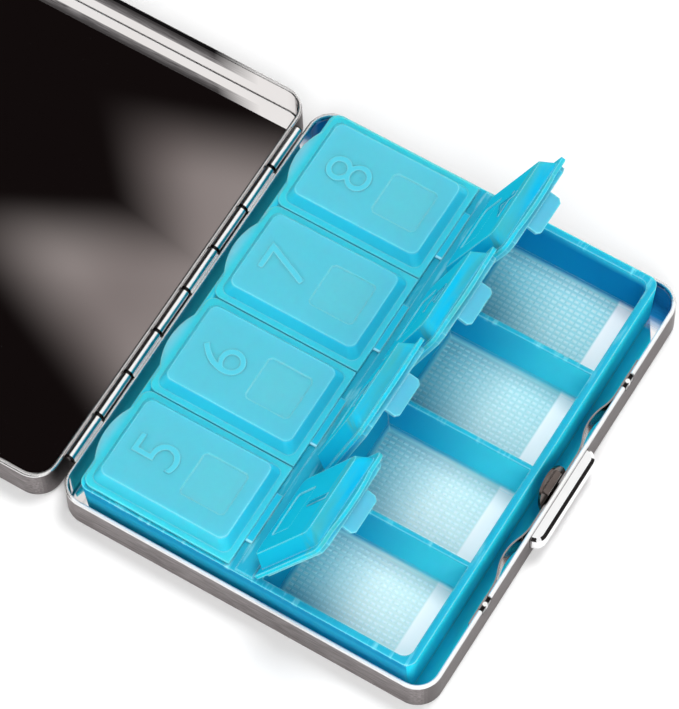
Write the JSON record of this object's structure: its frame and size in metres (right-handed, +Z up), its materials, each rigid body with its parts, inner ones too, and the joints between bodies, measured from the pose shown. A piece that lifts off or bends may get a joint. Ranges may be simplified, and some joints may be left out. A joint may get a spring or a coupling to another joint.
{
  "type": "pill organizer",
  "caption": "Flat hinged steel pocket case, lying open, with a moulded tray of lidded pill pockets and a spring catch released by a push button.",
  "frame": {"origin": "centre of the base's flat underside", "axes": "+Z up, +X from the hinge to the latch, +Y along the hinge"},
  "size_m": [0.1646, 0.095, 0.0468],
  "materials": {
    "case_steel": "brushed outside, mirror polished inside and on the rim",
    "hinge_steel": "drawn wire",
    "spring_steel": "bright spring strip",
    "button_chrome": "polished plating",
    "blue_plastic": "translucent moulded plastic with a satin skin"
  },
  "bodies": {
    "base": {"base_shell": "case_steel", "pill_tray": "blue_plastic", "latch_spring": "spring_steel", "hinge_web_1": "blue_plastic", "hinge_web_2": "blue_plastic", "hinge_web_3": "blue_plastic", "hinge_web_4": "blue_plastic", "hinge_web_5": "blue_plastic", "hinge_web_6": "blue_plastic", "hinge_web_7": "blue_plastic", "hinge_web_8": "blue_plastic"},
    "hinge_pin": {"hinge_pin": "hinge_steel"},
    "case_lid": {"case_lid": "case_steel", "strike_plate": "spring_steel"},
    "latch_button": {"latch_button": "button_chrome", "catch_tongue": "spring_steel", "button_rivets": "spring_steel"},
    "pocket_lid_1": {"pocket_lid_1": "blue_plastic"},
    "pocket_lid_2": {"pocket_lid_2": "blue_plastic"},
    "pocket_lid_3": {"pocket_lid_3": "blue_plastic"},
    "pocket_lid_4": {"pocket_lid_4": "blue_plastic"},
    "pocket_lid_5": {"pocket_lid_5": "blue_plastic"},
    "pocket_lid_6": {"pocket_lid_6": "blue_plastic"},
    "pocket_lid_7": {"pocket_lid_7": "blue_plastic"},
    "pocket_lid_8": {"pocket_lid_8": "blue_plastic"}
  },
  "joints": [
    {"name": "hinge_pin_turn", "type": "hinge", "parent": "base", "child": "hinge_pin", "pos_m": [-0.04115, 0, 0.0091], "axis": [0, -1, 0], "range_deg": [-30, 0]},
    {"name": "case_lid_swing", "type": "hinge", "parent": "hinge_pin", "child": "case_lid", "pos_m": [-0.04115, 0, 0.0091], "axis": [0, -1, 0], "range_deg": [-150, 0]},
    {"name": "button_press", "type": "slide", "parent": "base", "child": "latch_button", "axis": [1, 0, 0], "range_m": [-0.001, 0], "stiffness_N_per_m": 800, "deforming": ["latch_spring"]},
    {"name": "pocket_lid_1_swing", "type": "hinge", "parent": "base", "child": "pocket_lid_1", "pos_m": [0.0025, -0.03405, 0.01375], "axis": [0, -1, 0], "range_deg": [-63.8, 11.2], "deforming": ["hinge_web_1"]},
    {"name": "pocket_lid_2_swing", "type": "hinge", "parent": "base", "child": "pocket_lid_2", "pos_m": [0.0025, -0.01155, 0.01375], "axis": [0, -1, 0], "range_deg": [-73.2, 1.8], "deforming": ["hinge_web_2"]},
    {"name": "pocket_lid_3_swing", "type": "hinge", "parent": "base", "child": "pocket_lid_3", "pos_m": [0.0025, 0.01095, 0.01375], "axis": [0, -1, 0], "range_deg": [-69.9, 5.1], "deforming": ["hinge_web_3"]},
    {"name": "pocket_lid_4_swing", "type": "hinge", "parent": "base", "child": "pocket_lid_4", "pos_m": [0.0025, 0.03345, 0.01375], "axis": [0, -1, 0], "range_deg": [-67.3, 7.7], "deforming": ["hinge_web_4"]},
    {"name": "pocket_lid_5_swing", "type": "hinge", "parent": "base", "child": "pocket_lid_5", "pos_m": [-0.0025, -0.03405, 0.01375], "axis": [0, 1, 0], "range_deg": [0, 75], "deforming": ["hinge_web_5"]},
    {"name": "pocket_lid_6_swing", "type": "hinge", "parent": "base", "child": "pocket_lid_6", "pos_m": [-0.0025, -0.01155, 0.01375], "axis": [0, 1, 0], "range_deg": [0, 75], "deforming": ["hinge_web_6"]},
    {"name": "pocket_lid_7_swing", "type": "hinge", "parent": "base", "child": "pocket_lid_7", "pos_m": [-0.0025, 0.01095, 0.01375], "axis": [0, 1, 0], "range_deg": [0, 75], "deforming": ["hinge_web_7"]},
    {"name": "pocket_lid_8_swing", "type": "hinge", "parent": "base", "child": "pocket_lid_8", "pos_m": [-0.0025, 0.03345, 0.01375], "axis": [0, 1, 0], "range_deg": [0, 75], "deforming": ["hinge_web_8"]}
  ]
}
